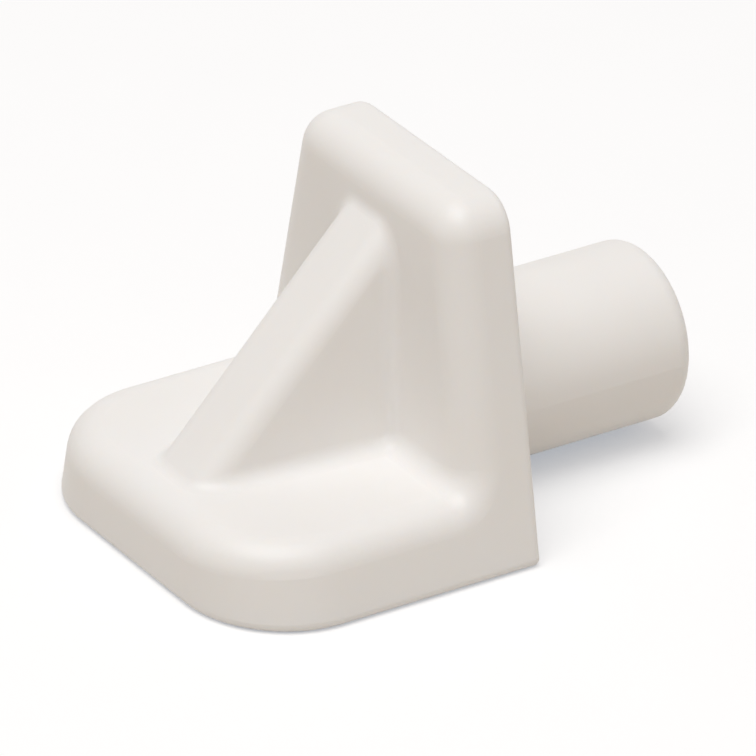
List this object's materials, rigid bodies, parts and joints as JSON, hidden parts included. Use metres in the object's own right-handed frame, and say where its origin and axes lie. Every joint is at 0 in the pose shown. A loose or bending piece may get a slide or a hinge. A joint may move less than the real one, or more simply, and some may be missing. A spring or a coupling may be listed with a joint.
{
  "type": "shelf support pin",
  "caption": "Moulded plastic shelf support: a flat seat and a tapered back plate braced by a gusset, with a round pin that plugs into a cabinet side panel.",
  "frame": {"origin": "On the pin's axis, where the pin leaves the back plate's rear face.", "axes": "+Y along the pin towards its free end, +X across the seat, +Z from the seat's flat face towards the gusset. The seat's flat face looks down (-Z), 0.25 mm below the lowest line of the pin. In a cabinet the part is turned half a turn about the pin, so that this flat face looks up and carries the shelf."},
  "size_m": [0.0144, 0.0206, 0.0127],
  "materials": {
    "moulded_plastic": "white moulded plastic, satin, with a faint even mould texture"
  },
  "bodies": {
    "root": {"shelf_support": "moulded_plastic"}
  },
  "joints": []
}
